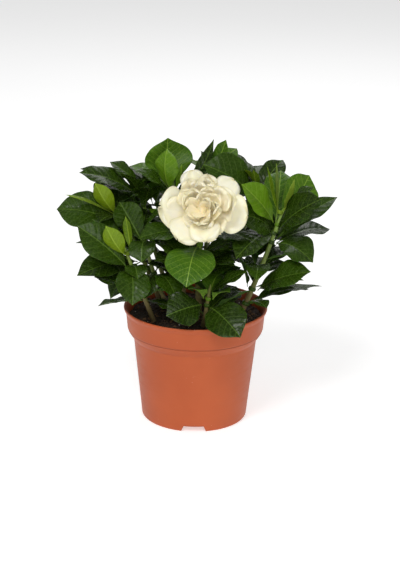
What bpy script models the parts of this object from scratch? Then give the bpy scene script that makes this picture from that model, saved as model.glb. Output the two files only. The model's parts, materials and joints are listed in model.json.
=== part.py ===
"""A gardenia in flower, growing in a plain plastic nursery pot.

The row frame is in metres with +Z up. The origin is on the pot's axis, at the
level of the surface that the pot stands on, and -Y is the plant's show side.
Sizes below are in millimetres and MM turns them into metres.
"""
import bpy
import bmesh
from math import cos, pi, radians, sin
from mathutils import Matrix, Vector
from mathutils.bvhtree import BVHTree

MM = 0.001
UP = Vector((0, 0, 1))

# The pot.
POT_HEIGHT = 104.0
POT_SIDES = 40
BASE_RADIUS = 48.0
WALL = 1.4
FOOT_HEIGHT = 6.0
BODY_TOP = (55.8, 75.0)        # radius and height where the band's shoulder starts
BAND_FOOT = (61.4, 83.5)       # radius and height where the shoulder ends
LIP_RADIUS = 65.0
DRAIN_COUNT = 8
DRAIN_RADIUS = 4.0
DRAIN_CIRCLE = 31.0
NOTCH_COUNT = 3
NOTCH_WIDTHS = (22.5, 18.0)    # at the bottom edge and at its roof
NOTCH_HEIGHT = 5.5

# The soil.
SOIL_TOP = 95.0
SOIL_MOUND = 3.5
FIT = 0.5                      # the gap kept between pieces that lie together

# Leaves, stems and petals.
STEM_SIDES = 8
STEM_STATIONS = 9
SHEATH_HEIGHT = 3.2
SHEATH_WALL = 1.0
LEAF_THICKNESS = 1.0
PETIOLE = 0.06                 # share of a leaf's length that is stalk
PETAL_THICKNESS = 1.1
LEAF_STATIONS = (0.05, 0.16, 0.34, 0.54, 0.74, 0.9, 1.0)
PETAL_STATIONS = (0.0, 0.16, 0.36, 0.56, 0.76, 0.92, 1.0)
LEAF_CLEARANCE = 0.5           # how much fatter a blade is while it is being settled
PETAL_CLEARANCE = 0.25
SETTLE_STEP = 3.0              # degrees
SETTLE_ROUNDS = 10
CROWDED_SIZES = (1.0, 0.85, 0.7, 0.55)   # a leaf with no room stays this much smaller

# Base colour and roughness of each finish.
FINISHES = {
    "pot_plastic": ((0.52, 0.13, 0.045), 0.5),
    "peat": ((0.03, 0.018, 0.012), 0.95),
    "stem": ((0.14, 0.16, 0.03), 0.6),
    "old": ((0.018, 0.07, 0.012), 0.3),
    "bright": ((0.07, 0.21, 0.015), 0.3),
    "young": ((0.2, 0.36, 0.03), 0.35),
    "petal": ((0.88, 0.82, 0.62), 0.55),
    "calyx": ((0.16, 0.3, 0.05), 0.5),
}

# How much each kind of leaf folds up along its midrib (rise per half width), and how far
# its stalk stands out from the sheath before the blade's curve begins.
FOLDS = {"old": 0.14, "bright": 0.2, "young": 0.5}
STALK_REACH = {"old": 1.5, "bright": 1.5, "young": 0.7}
FACE_LEAN = 0.2                # how far a leaf's upper side leans back towards its shoot

# Each shoot runs in one bend from its foot in the soil, past a middle point, to its tip.
# name: (foot x, y), (middle x, y, z), (tip x, y, z), foot radius, tip radius
SHOOTS = {
    "right": ((37, -20), (53, -17, 134), (75, -3, 192), 2.8, 1.6),
    "back_right": ((20, 12), (36, 24, 150), (56, 31, 205), 2.4, 1.5),
    "top": ((6, 14), (9, 22, 160), (12, 24, 226), 2.4, 1.5),
    "centre": ((-9, 4), (-16, 8, 150), (-22, 12, 214), 2.6, 1.6),
    "upper_left": ((-19, 15), (-38, 20, 150), (-51, 22, 208), 2.4, 1.5),
    "far_left": ((-30, 6), (-48, 5, 145), (-71, 3, 190), 2.4, 1.5),
    "left": ((-37, -24), (-46, -28, 122), (-61, -29, 162), 2.4, 1.5),
    "mid_left": ((-20, -14), (-36, -16, 135), (-48, -19, 180), 2.2, 1.4),
    "front": ((7, -37), (9, -41, 112), (12, -46, 134), 2.2, 1.4),
    "flower": ((4, -13), (2, -20, 135), (4, -31, 190), 2.8, 2.0),
    "back_left": ((-16, 34), (-28, 46, 140), (-38, 56, 188), 2.4, 1.5),
    "back": ((8, 34), (10, 50, 145), (16, 64, 202), 2.4, 1.5),
}

# The leaf whorls, outer and most visible first. Each leaf is given by the place that its
# tip reaches, its width, how far its midrib arches and how far it rolls (degrees).
# node: (shoot, height along it, finish, [(x, y, z, width, arch, roll), ...])
WHORLS = {
    "right_young": ("right", 1.0, "young", [
        (84, -19, 228, 22, -3, 60), (61, -6, 235, 8, -1, 0), (69, 0, 237, 8, -1, 0)]),
    "right_bright": ("right", 0.93, "bright", [
        (38, -28, 225, 27, 4, -60), (95, 20, 231, 34, 5, 50), (76, 40, 222, 28, 6, 0)]),
    "right_old": ("right", 0.87, "old", [
        (106, -34, 219, 36, 6, 55), (36, -30, 199, 36, 7, -45), (34, -60, 186, 28, 7, -10)]),
    "right_outer": ("right", 0.81, "old", [
        (102, -34, 157, 32, 8, 20), (121, 26, 170, 24, 6, 15), (124, 24, 204, 25, 5, 10),
        (84, 50, 186, 30, 8, 0)]),
    "flower_whorl": ("flower", 0.84, "bright", [
        (-8, -74, 146, 44, 8, 0), (-44, 6, 192, 26, 6, 0), (40, 24, 196, 26, 6, 0)]),
    "flower_collar": ("flower", 0.92, "old", [
        (-50, -46, 180, 29, 6, -20), (47, -42, 179, 29, 5, 15)]),
    "back_right_young": ("back_right", 1.0, "young", [
        (41, 12, 228, 9, 2, 0), (50, 12, 230, 8, -1, 0)]),
    "back_right_old": ("back_right", 0.93, "old", [
        (17, 6, 242, 41, 9, -60), (78, 58, 226, 22, 7, 19), (44, 80, 214, 30, 9, 0)]),
    "centre_bright": ("centre", 0.965, "bright", [
        (-27, 27, 252, 46, -6, 0), (-27, 6, 247, 25, -5, 0), (-14, 3, 234, 8, -2, 0),
        (-62, 40, 228, 26, 6, 0)]),
    "centre_old": ("centre", 0.9, "old", [
        (-55, -7, 229, 23, 7, -20), (14, 34, 250, 14, -7, 20), (-36, 56, 220, 28, 8, 0)]),
    "top_bright": ("top", 0.92, "bright", [
        (13, 28, 254, 15, -3, 30), (10, 6, 229, 26, -4, 0), (34, 46, 240, 24, 5, 0),
        (-7, 52, 238, 24, 5, 0)]),
    "left_young": ("left", 0.99, "young", [
        (-78, -46, 191, 18, -4, 40), (-62, -26, 194, 8, -1, 0)]),
    "left_old": ("left", 0.86, "old", [
        (-92, -38, 197, 32, 6, -60), (-54, -66, 126, 31, 9, 0),
        (-50, -54, 146, 20, 5, 0)]),
    "mid_left_old": ("mid_left", 0.9, "old", [
        (-57, -32, 211, 26, 3, 60), (-47, -46, 158, 24, 8, 0), (-10, -44, 158, 26, 8, 0)]),
    "far_left_young": ("far_left", 0.99, "young", [
        (-115, -17, 210, 9, 2, 0), (-90, -5, 218, 18, -3, 50)]),
    "far_left_old": ("far_left", 0.9, "old", [
        (-124.5, 0, 192, 39, 8, -45), (-88, -28, 187, 28, 8, 0), (-84, 42, 186, 28, 8, 0)]),
    "far_left_low": ("far_left", 0.5, "old", [
        (-104, -36, 142, 31, 7, -25), (-108, 0, 161, 26, 6, 0), (-86, -6, 121, 24, 6, -20),
        (-70, 46, 138, 28, 8, 0), (-30, -34, 134, 26, 6, 0)]),
    "upper_left_old": ("upper_left", 0.93, "old", [
        (-105, 10, 223, 26, 7, -25), (-106, 32, 221, 24, 6, 0), (-52, 68, 212, 28, 8, 0)]),
    "upper_left_near": ("upper_left", 0.86, "old", [
        (-82, -8, 207, 24, 7, 0), (-34, -6, 212, 28, 5, 0), (-74, -2, 224, 20, 6, 0)]),
    "front_old": ("front", 0.7, "old", [
        (39, -84, 105, 37, 7, 30), (-25, -66, 117, 33, 5, -45)]),
    "front_near": ("front", 0.84, "bright", [
        (-6, -66, 142, 20, 4, 0), (30, -56, 136, 18, 4, 0), (20, -22, 142, 22, 4, 0)]),
    "flower_low": ("flower", 0.6, "old", [
        (-36, -46, 160, 28, 6, -10), (34, -48, 160, 28, 6, 10), (-26, 20, 170, 28, 6, 0),
        (40, 6, 158, 28, 6, 0)]),
    "right_low": ("right", 0.42, "old", [
        (97, -42, 160, 32, 6, 35), (30, -42, 168, 20, 3, -40), (62, 34, 140, 28, 8, 0)]),
    "right_foot": ("right", 0.26, "old", [
        (103, 6, 119, 26, 6, 0), (114, 26, 118, 15, 5, 0), (62, -56, 122, 16, 5, 0)]),
    "right_mid": ("right", 0.6, "old", [
        (22, -34, 152, 26, 8, 0), (44, -56, 148, 22, 8, 0), (96, 30, 148, 24, 8, 0)]),
    "mid_left_low": ("mid_left", 0.55, "old", [
        (-6, -46, 134, 24, 7, 0), (-44, -54, 128, 22, 7, 0), (-62, 14, 140, 26, 7, 0),
        (-20, 20, 134, 26, 7, 0)]),
}

# Whorls that nobody arranges: each is a ring of like leaves round its shoot.
# node: (shoot, height, finish, leaves, first direction, rise, length, width)
RINGS = {
    "centre_low": ("centre", 0.62, "old", 4, 150, 2, 50, 28),
    "top_low": ("top", 0.6, "old", 4, 20, 4, 50, 28),
    "back_right_low": ("back_right", 0.6, "old", 4, -20, 0, 50, 28),
    "back_left_top": ("back_left", 0.95, "bright", 4, 80, 46, 44, 28),
    "back_left_low": ("back_left", 0.6, "old", 4, 130, -4, 48, 30),
    "back_top": ("back", 0.95, "bright", 4, 30, 60, 42, 26),
    "back_low": ("back", 0.6, "old", 3, 10, -4, 46, 30),
}

# The flower: six outer petals, then inner ones that close round its heart.
FLOWER_HEART = Vector((5, -37, 199))
FLOWER_FACING = Vector((-0.06, -0.86, 0.5)).normalized()
# node: (root radius, root level, (tip x, y, z), width, arch, cup)
PETALS = {
    "petal_outer_left": (5.0, -0.6, (-30, -52, 211), 38, -3, 0.3),
    "petal_outer_upper_left": (5.0, -2.4, (-7, -30, 237), 21, 2, 0.25),
    "petal_outer_upper_right": (5.0, -0.6, (32, -24, 228), 23, 2, 0.2),
    "petal_outer_right": (5.0, -2.4, (43, -50, 204), 34, 2, 0.2),
    "petal_outer_lower_right": (5.0, -0.6, (8, -72, 188), 27, 3, 0.2),
    "petal_outer_lower_left": (5.0, -2.4, (-17, -64, 186), 30, 3, 0.15),
    "petal_inner_right": (3.4, 1.6, (32, -62, 220), 30, -8, 0.5),
    "petal_inner_top": (3.4, 1.6, (8, -48, 233), 22, -5, 0.5),
    "petal_inner_left": (3.4, 1.6, (-10, -56, 222), 18, -5, 0.5),
    "petal_inner_low": (3.4, 1.6, (3, -71, 198), 16, -3, 0.3),
    "petal_heart_right": (1.6, 3.6, (17, -64, 216), 12, -4, 0.7),
    "petal_heart_top": (1.6, 3.6, (10, -61, 222), 11, -3, 0.7),
}
PETAL_LOWEST = 2.4


# --- small helpers ---------------------------------------------------------------------

def finish(name):
    """The shared material of one finish."""
    material = bpy.data.materials.get(name)
    if material:
        return material
    colour, roughness = FINISHES[name]
    material = bpy.data.materials.new(name)
    material.use_nodes = True
    shader = material.node_tree.nodes["Principled BSDF"]
    shader.inputs["Base Color"].default_value = (*colour, 1)
    shader.inputs["Roughness"].default_value = roughness
    shader.inputs["Metallic"].default_value = 0
    material.diffuse_color = (*colour, 1)
    return material


def make_object(name, vertices, faces, finish_name, sharp=40):
    """A mesh object from points in millimetres."""
    mesh = bpy.data.meshes.new(name)
    mesh.from_pydata([Vector(v) * MM for v in vertices], [], faces)
    bm = bmesh.new()
    bm.from_mesh(mesh)
    bmesh.ops.triangulate(bm, faces=bm.faces)
    bmesh.ops.recalc_face_normals(bm, faces=bm.faces)
    bm.to_mesh(mesh)
    bm.free()
    mesh.shade_smooth()
    mesh.set_sharp_from_angle(angle=radians(sharp))
    mesh.materials.append(finish(finish_name))
    part = bpy.data.objects.new(name, mesh)
    bpy.context.scene.collection.objects.link(part)
    return part


def lathe(profile, sides):
    """Vertices and faces of a profile turned round Z; points at radius 0 become poles."""
    vertices, faces, rows = [], [], []
    for radius, height in profile:
        if radius == 0:
            rows.append([len(vertices)] * sides)
            vertices.append((0, 0, height))
            continue
        rows.append(list(range(len(vertices), len(vertices) + sides)))
        for k in range(sides):
            turn = 2 * pi * k / sides
            vertices.append((radius * cos(turn), radius * sin(turn), height))
    for low, high in zip(rows, rows[1:]):
        for k in range(sides):
            corners = (low[k], low[(k + 1) % sides], high[(k + 1) % sides], high[k])
            face = list(dict.fromkeys(corners))
            if len(face) > 2:
                faces.append(face)
    return vertices, faces


def bezier(start, bend, end, t):
    """A point on the curve from start to end that leans towards bend."""
    return start * (1 - t) ** 2 + bend * (2 * t * (1 - t)) + end * t ** 2


def bezier_slope(start, bend, end, t):
    """The unit direction of the same curve."""
    return ((bend - start) * (1 - t) + (end - bend) * t).normalized()


def across(vector, direction):
    """The part of a vector at right angles to a direction, as a unit vector."""
    return (vector - direction * vector.dot(direction)).normalized()


# --- pot and soil ----------------------------------------------------------------------

def inner_radius(height):
    """Inside radius of the pot's wall."""
    low, high = (BASE_RADIUS - WALL, FOOT_HEIGHT + WALL), (BODY_TOP[0] - WALL, BODY_TOP[1] + 1)
    if height > high[1]:
        low, high = high, (BAND_FOOT[0] - WALL, BAND_FOOT[1] + 1)
    if height > high[1]:
        return high[0] + (height - high[1]) * 0.06
    share = (height - low[1]) / (high[1] - low[1])
    return low[0] + share * (high[0] - low[0])


def build_pot():
    """A thin wall with a shouldered band, a rolled lip and a raised floor."""
    inside = [(inner_radius(h), h) for h in
              (POT_HEIGHT - 5, BAND_FOOT[1] + 1, BODY_TOP[1] + 1, FOOT_HEIGHT + WALL)]
    profile = [
        (0, FOOT_HEIGHT), (BASE_RADIUS - 3.2, FOOT_HEIGHT), (BASE_RADIUS - 2.4, 0),
        (BASE_RADIUS - 1.0, 0), (BASE_RADIUS, 1.2), BODY_TOP,
        (BAND_FOOT[0] - 1.6, BAND_FOOT[1] - 3.2), BAND_FOOT,
        (LIP_RADIUS - 2.2, POT_HEIGHT - 5.5), (LIP_RADIUS - 0.3, POT_HEIGHT - 2.4),
        (LIP_RADIUS, POT_HEIGHT - 1.0), (LIP_RADIUS - 0.5, POT_HEIGHT),
        (LIP_RADIUS - 1.9, POT_HEIGHT - 0.4), *inside, (0, FOOT_HEIGHT + WALL)]
    pot = make_object("pot", *lathe(profile, POT_SIDES), "pot_plastic")
    cutter = pot_cutter()
    cut = pot.modifiers.new("holes and notches", "BOOLEAN")
    cut.operation = "DIFFERENCE"
    cut.solver = "EXACT"
    cut.object = cutter
    return pot


def pot_cutter():
    """The drain holes and the notches in the foot, as one set of cutting blocks."""
    vertices, faces = [], []

    def add(block_vertices, block_faces, placing):
        start = len(vertices)
        vertices.extend(placing @ Vector(v) for v in block_vertices)
        faces.extend([start + i for i in face] for face in block_faces)

    drill = lathe([(0, 0), (DRAIN_RADIUS, 0), (DRAIN_RADIUS, 12), (0, 12)], 12)
    for k in range(DRAIN_COUNT):
        turn = Matrix.Rotation(2 * pi * (k + 0.5) / DRAIN_COUNT, 4, "Z")
        add(*drill, turn @ Matrix.Translation((DRAIN_CIRCLE, 0, FOOT_HEIGHT - 5)))
    low, high = (w / 2 for w in NOTCH_WIDTHS)
    slope = (low - high) / NOTCH_HEIGHT
    outline = [(-low - slope, -1), (low + slope, -1), (high, NOTCH_HEIGHT), (-high, NOTCH_HEIGHT)]
    near, far = BASE_RADIUS - 12, BASE_RADIUS + 6
    wedge = [(x, -y, z) for y in (near, far) for x, z in outline]
    sides = [(0, 1, 2, 3), (7, 6, 5, 4), (0, 4, 5, 1), (1, 5, 6, 2), (2, 6, 7, 3), (3, 7, 4, 0)]
    for k in range(NOTCH_COUNT):
        add(wedge, sides, Matrix.Rotation(2 * pi * k / NOTCH_COUNT, 4, "Z"))
    cutter = make_object("pot_cutter", vertices, faces, "pot_plastic")
    cutter.hide_render = True
    cutter.display_type = "WIRE"
    return cutter


def soil_height(x, y):
    """The soil is a little higher in the middle."""
    share = min(1.0, (x * x + y * y) ** 0.5 / inner_radius(SOIL_TOP))
    return SOIL_TOP + SOIL_MOUND * (1 - share * share)


def build_soil():
    """The root ball fills the pot up to a low mound below the rim."""
    floor = FOOT_HEIGHT + WALL + FIT
    edge = inner_radius(SOIL_TOP) - FIT
    shoulder = BODY_TOP[1] + 1.5
    neck = BAND_FOOT[1] + 1.5
    profile = [(0, floor), (inner_radius(floor) - FIT, floor),
               (inner_radius(BODY_TOP[1] + 1) - FIT, shoulder),
               (inner_radius(BAND_FOOT[1] + 1) - FIT, neck)]
    for share in (1.0, 0.75, 0.5, 0.25, 0.0):
        profile.append((edge * share, soil_height(edge * share, 0)))
    return make_object("soil", *lathe(profile, POT_SIDES), "peat")


# --- stems -----------------------------------------------------------------------------

def shoot_curve(name):
    """Start, bend and end of a shoot's curve, which passes through its middle point."""
    foot, middle, tip = SHOOTS[name][:3]
    start = Vector((*foot, soil_height(*foot) + FIT))
    end = Vector(tip)
    bend = Vector(middle) * 2 - (start + end) / 2
    return start, bend, end


def shoot_radius(name, share):
    """A shoot tapers evenly from its foot to its tip."""
    foot_radius, tip_radius = SHOOTS[name][3:]
    return foot_radius + (tip_radius - foot_radius) * share


def build_stem(name):
    """A tapering stem that ends in a small pointed bud."""
    curve = shoot_curve(name)
    vertices, faces = [], []
    stations = [k / (STEM_STATIONS - 1) for k in range(STEM_STATIONS)]
    rings = [(bezier(*curve, t), bezier_slope(*curve, t), shoot_radius(name, t)) for t in stations]
    rings[0] = (curve[0], UP, rings[0][2])
    point, slope, radius = rings[-1]
    if name != "flower":
        rings.append((point + slope * 3, slope, radius * 0.8))
        rings.append((point + slope * 6, slope, 0.3))
    side = across(Vector((1, 0, 0)), rings[0][1])
    for point, slope, radius in rings:
        side = across(side, slope)
        other = slope.cross(side)
        for k in range(STEM_SIDES):
            turn = 2 * pi * k / STEM_SIDES
            vertices.append(point + (side * cos(turn) + other * sin(turn)) * radius)
    for row in range(len(rings) - 1):
        for k in range(STEM_SIDES):
            a, b = row * STEM_SIDES + k, row * STEM_SIDES + (k + 1) % STEM_SIDES
            faces.append((a, b, b + STEM_SIDES, a + STEM_SIDES))
    faces.append(list(range(STEM_SIDES))[::-1])
    faces.append(list(range(len(vertices) - STEM_SIDES, len(vertices))))
    return make_object("stem_" + name, vertices, faces, "stem")


# --- leaves ----------------------------------------------------------------------------

def leaf_outline(t):
    """Half width of a leaf, as a share of its widest, along its length."""
    u = max(0.0, (t - PETIOLE) / (1 - PETIOLE))
    blade = (u ** 1.2) * ((1 - u) ** 0.75) / 0.273
    return max(blade, 0.08 if t < 0.5 else 0.02)


def petal_outline(t):
    """Half width of a petal: broad and round at its outer end."""
    return max((t ** 1.1) * ((1 - t) ** 0.38) / 0.43, 0.08)


def blade_rows(curve, facing, blade, extra=0.0):
    """Cross-sections of a thin blade that follows a curve, as rows of points.

    A row runs from one edge under the blade to the other edge and back over the top.
    """
    start, bend, end = curve
    rows = []
    for t in blade["stations"]:
        point = bezier(start, bend, end, t)
        slope = bezier_slope(start, bend, end, t)
        face = across(facing, slope)
        side = face.cross(slope)
        half = blade["width"] / 2 * blade["outline"](t) + extra
        thick = blade["thickness"] * (0.35 + 0.65 * min(1, half / 6)) + 2 * extra
        count = blade["points"]
        under, over = [], []
        for k in range(count):
            u = 2 * k / (count - 1) - 1
            lift = blade["fold"] * half * abs(u) + blade["cup"] * half * u * u
            body = thick / 2 * (1 - u * u) if 0 < k < count - 1 else 0
            place = point + side * (-u * half) + face * lift
            under.append(place - face * body)
            over.append(place + face * body)
        rows.append(under + over[-2:0:-1])
    return rows


def blade_frame(start, tip, arch, roll, facing):
    """The bent midrib from start to tip, and the way its upper side faces."""
    along = (tip - start).normalized()
    face = across(facing, along)
    face = Matrix.Rotation(radians(roll), 3, along) @ face
    bend = start.lerp(tip, 0.45) + face * arch * 2
    return (start, bend, tip), face


def rows_to_faces(rows, first=0):
    """Side faces between rows of equal length that are numbered one after the other."""
    count = len(rows[0])
    faces = []
    for row in range(len(rows) - 1):
        for k in range(count):
            a, b = first + row * count + k, first + row * count + (k + 1) % count
            faces.append((a, b, b + count, a + count))
    return faces


def solid_tree(rows, root=None):
    """A search tree of a closed blade, used to see what it would touch.

    With a root the tree starts halfway between that root and the blade's first row.
    """
    if root:
        rows = [[(a + b) / 2 for a, b in zip(root, rows[0])], *rows]
    vertices = [v for row in rows for v in row]
    faces = rows_to_faces(rows)
    count = len(rows[0])
    faces.append(list(range(count))[::-1])
    faces.append(list(range(len(vertices) - count, len(vertices))))
    return BVHTree.FromPolygons(vertices, faces)


def settle_turns():
    """Small turns to try, nearest to the wanted place first: (yaw, pitch) in degrees."""
    yield 0.0, 0.0
    for ring in range(1, SETTLE_ROUNDS + 1):
        for k in range(8):
            angle = pi * (k + 0.5 * (ring % 2)) / 4
            yield SETTLE_STEP * ring * cos(angle), SETTLE_STEP * ring * sin(angle)


def settle(start, tip, arch, roll, facing, blade, placed, root=None):
    """Turn a blade about its root until it clears all that is in place already."""
    level = (tip - start).cross(UP).normalized()
    width = blade["width"]
    for size in CROWDED_SIZES:
        blade["width"] = width * size
        for yaw, pitch in settle_turns():
            turn = Matrix.Rotation(radians(yaw), 3, "Z") @ Matrix.Rotation(radians(pitch), 3, level)
            moved = start + turn @ (tip - start) * size
            curve, face = blade_frame(start, moved, arch * size, roll, facing)
            tree = solid_tree(blade_rows(curve, face, blade, blade["clearance"]), root)
            if not any(tree.overlap(other) for other in placed):
                return curve, face
    raise ValueError(f"no free place for a blade that starts at {start}")


def sheath_ring(shoot, height):
    """The four edge loops of the short sheath by which a whorl of leaves clasps its stem."""
    curve = shoot_curve(shoot)
    slope = bezier_slope(*curve, height)
    centre = bezier(*curve, height)
    inner = shoot_radius(shoot, height) + FIT
    side = across(Vector((1, 0, 0)), slope)
    other = slope.cross(side)
    loops = []
    for radius, level in ((inner, -0.5), (inner + SHEATH_WALL, -0.5),
                          (inner + SHEATH_WALL, 0.5), (inner, 0.5)):
        for k in range(STEM_SIDES):
            turn = 2 * pi * k / STEM_SIDES
            rim = (side * cos(turn) + other * sin(turn)) * radius
            loops.append(centre + rim + slope * level * SHEATH_HEIGHT)
    return centre, loops


def build_whorl(name, shoot, height, finish_name, leaves, placed):
    """The leaves of one node of a shoot, grown together at the sheath round the stem."""
    centre, vertices = sheath_ring(shoot, height)
    n = STEM_SIDES
    faces = []
    walls = {}
    for k in range(n):
        step = (k + 1) % n
        for loop in range(4):
            after = (loop + 1) % 4
            quad = (loop * n + step, loop * n + k, after * n + k, after * n + step)
            if loop == 1:
                walls[k] = quad
            else:
                faces.append(quad)
    trees = []
    for x, y, z, width, arch, roll in leaves:
        tip = Vector((x, y, z))
        wanted = (tip - centre).normalized()
        middle = {k: sum((vertices[i] for i in quad), Vector()) / 4 for k, quad in walls.items()}
        k = max(middle, key=lambda w: (middle[w] - centre).dot(wanted))
        wall = walls.pop(k)
        root = [vertices[i] for i in wall]
        outward = (middle[k] - centre).normalized()
        start = middle[k] + outward * STALK_REACH[finish_name]
        blade = dict(stations=LEAF_STATIONS, outline=leaf_outline, points=3, width=width,
                     fold=FOLDS[finish_name], cup=0.0, thickness=LEAF_THICKNESS,
                     clearance=LEAF_CLEARANCE)
        facing = UP - outward * FACE_LEAN
        curve, face = settle(start, tip, arch, roll, facing, blade, placed + trees, root)
        rows = blade_rows(curve, face, blade)
        trees.append(solid_tree(rows, root))
        first = len(vertices)
        count = len(rows[0])
        vertices.extend(v for row in rows for v in row)
        for j in range(count):
            after = (j + 1) % count
            faces.append((wall[j], wall[after], first + after, first + j))
        faces.extend(rows_to_faces(rows, first))
        faces.append(list(range(len(vertices) - count, len(vertices))))
    faces.extend(walls.values())
    placed.append(tree_of(vertices, faces))
    return make_object("leaves_" + name, vertices, faces, finish_name, sharp=60)


def tree_of(vertices, faces):
    """A search tree of any set of faces."""
    return BVHTree.FromPolygons([Vector(v) for v in vertices], faces)


def ring_leaves(shoot, height, count, first, rise, length, width):
    """Evenly spread leaves round a shoot, in the form that build_whorl takes."""
    centre = bezier(*shoot_curve(shoot), height)
    leaves = []
    for k in range(count):
        turn = radians(first + 360 * k / count)
        lift = radians(rise + 8 * (k % 2))
        reach = Vector((cos(turn) * cos(lift), sin(turn) * cos(lift), sin(lift))) * length
        leaves.append((*(centre + reach), width, 7, 0))
    return leaves


# --- flower ----------------------------------------------------------------------------

def build_calyx():
    """The green cup under the petals, at the end of the flower's stem."""
    top = FLOWER_HEART - FLOWER_FACING * (PETAL_LOWEST + 2 * FIT)
    stem_end = Vector(SHOOTS["flower"][2])
    axis = (top - stem_end).normalized()
    length = (top - stem_end).length
    profile = [(0, FIT), (2.4, FIT), (2.8, length * 0.2), (3.6, length * 0.4), (5.2, length),
               (0, length)]
    vertices, faces = lathe(profile, 12)
    place = axis.to_track_quat("Z", "Y").to_matrix()
    facing = FLOWER_FACING.to_track_quat("Z", "Y").to_matrix()
    moved = []
    for v in vertices:
        at_top = v[2] >= length - 0.01
        if at_top:
            moved.append(top + facing @ Vector((v[0], v[1], 0)))
        else:
            moved.append(stem_end + place @ Vector(v))
    return make_object("calyx", moved, faces, "calyx")


def build_petal(name, ring, level, tip, width, arch, cup, placed):
    """One petal: a broad cupped blade that springs from the ring of petal roots."""
    tip = Vector(tip)
    outward = across(tip - FLOWER_HEART, FLOWER_FACING)
    start = FLOWER_HEART + outward * ring + FLOWER_FACING * level
    blade = dict(stations=PETAL_STATIONS, outline=petal_outline, points=5, width=width,
                 fold=0.0, cup=cup, thickness=PETAL_THICKNESS, clearance=PETAL_CLEARANCE)
    curve, face = settle(start, tip, arch, 0, FLOWER_FACING, blade, placed)
    rows = blade_rows(curve, face, blade)
    vertices = [v for row in rows for v in row]
    count = len(rows[0])
    faces = rows_to_faces(rows)
    faces.append(list(range(count))[::-1])
    faces.append(list(range(len(vertices) - count, len(vertices))))
    placed.append(tree_of(vertices, faces))
    return make_object(name, vertices, faces, "petal", sharp=60)


# --- the whole plant -------------------------------------------------------------------

def mesh_tree(part):
    """A search tree of a finished object, in millimetres."""
    vertices = [v.co / MM for v in part.data.vertices]
    return tree_of(vertices, [tuple(p.vertices) for p in part.data.polygons])


def main():
    for old in list(bpy.data.objects):
        bpy.data.objects.remove(old, do_unlink=True)
    placed = [mesh_tree(build_pot()), mesh_tree(build_soil())]
    for shoot in SHOOTS:
        placed.append(mesh_tree(build_stem(shoot)))
    placed.append(mesh_tree(build_calyx()))
    petals = []
    for name, row in PETALS.items():
        build_petal(name, *row, petals)
    placed += petals
    for name, (shoot, height, finish_name, leaves) in WHORLS.items():
        build_whorl(name, shoot, height, finish_name, leaves, placed)
    for name, (shoot, height, finish_name, *shape) in RINGS.items():
        leaves = ring_leaves(shoot, height, *shape)
        build_whorl(name, shoot, height, finish_name, leaves, placed)


main()
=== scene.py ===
# %% [markdown]
# # A gardenia in its nursery pot
# The plant is a double gardenia: a bush of glossy leaves on a dozen shoots, one open cream
# flower and a plain plastic pot of peat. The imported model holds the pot, the soil, the
# shoots, the outer leaves and the open petals, as plain faceted solids. This lesson reads
# those solids, and builds a fine piece with a living surface where each of them stands. The
# inner leaves, the flower's folded heart and the loose soil are in no solid: they're added.

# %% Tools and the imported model
import json
from math import cos, pi, radians, sin
import bmesh
import bpy
import numpy as np
from mathutils import Matrix, Vector
from mathutils.bvhtree import BVHTree


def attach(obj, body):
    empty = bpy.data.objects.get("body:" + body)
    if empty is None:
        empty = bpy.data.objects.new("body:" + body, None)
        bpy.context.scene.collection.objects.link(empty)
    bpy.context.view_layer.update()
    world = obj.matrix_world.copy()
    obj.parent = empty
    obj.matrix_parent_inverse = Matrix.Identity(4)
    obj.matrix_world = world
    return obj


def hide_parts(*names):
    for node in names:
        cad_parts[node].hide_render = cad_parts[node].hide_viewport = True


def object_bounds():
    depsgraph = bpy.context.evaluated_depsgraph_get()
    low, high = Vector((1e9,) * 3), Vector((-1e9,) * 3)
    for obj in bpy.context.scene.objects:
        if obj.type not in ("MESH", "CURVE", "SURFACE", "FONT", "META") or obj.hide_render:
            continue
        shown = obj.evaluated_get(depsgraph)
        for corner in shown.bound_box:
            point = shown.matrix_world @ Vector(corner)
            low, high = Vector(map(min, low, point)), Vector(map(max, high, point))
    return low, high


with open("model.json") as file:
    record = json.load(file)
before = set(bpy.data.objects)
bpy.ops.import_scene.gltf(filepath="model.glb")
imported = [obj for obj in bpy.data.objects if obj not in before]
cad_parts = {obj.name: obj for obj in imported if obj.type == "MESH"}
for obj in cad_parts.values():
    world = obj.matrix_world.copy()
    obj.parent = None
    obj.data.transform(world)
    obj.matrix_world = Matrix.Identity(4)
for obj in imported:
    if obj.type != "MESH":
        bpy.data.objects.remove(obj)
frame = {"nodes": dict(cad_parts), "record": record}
cad_box = [list(corner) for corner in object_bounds()]
MM = 0.001
chance = np.random.default_rng(20)
slot_of = {row["node"]: row["material_slot"] for row in frame["record"]["subparts"]}
print("nodes:", len(frame["nodes"]), "box:", cad_box)

# %% [markdown]
# ## Reading the plan back from the solids
# A blade in the model is a row of small rings of corners, from its root to its tip. Walking
# from ring to ring over the mesh gives the midrib, the width and the way the upper side
# faces. The other way would be a second table of places, which could drift from the model.


# %% Corners, neighbours and rings
def joined(node):
    """A node's corner points in millimetres, and the corners that each one meets."""
    bm = bmesh.new()
    bm.from_mesh(frame["nodes"][node].data)
    bmesh.ops.remove_doubles(bm, verts=bm.verts, dist=0.02 * MM)
    bm.verts.index_update()
    points = np.array([v.co for v in bm.verts]) / MM
    meets = [{e.other_vert(v).index for e in v.link_edges} for v in bm.verts]
    bm.free()
    return points, meets


def rings_from(first, meets, count):
    """Walks outwards from a set of corners, one ring of corners at a time."""
    rings, seen = [sorted(first)], set(first)
    for _ in range(count - 1):
        ring = set().union(*(meets[i] for i in rings[-1])) - seen
        rings.append(sorted(ring))
        seen |= ring
    return rings


def unit(v):
    """Vectors scaled to length one."""
    return v / np.maximum(np.linalg.norm(v, axis=-1, keepdims=True), 1e-9)


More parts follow.
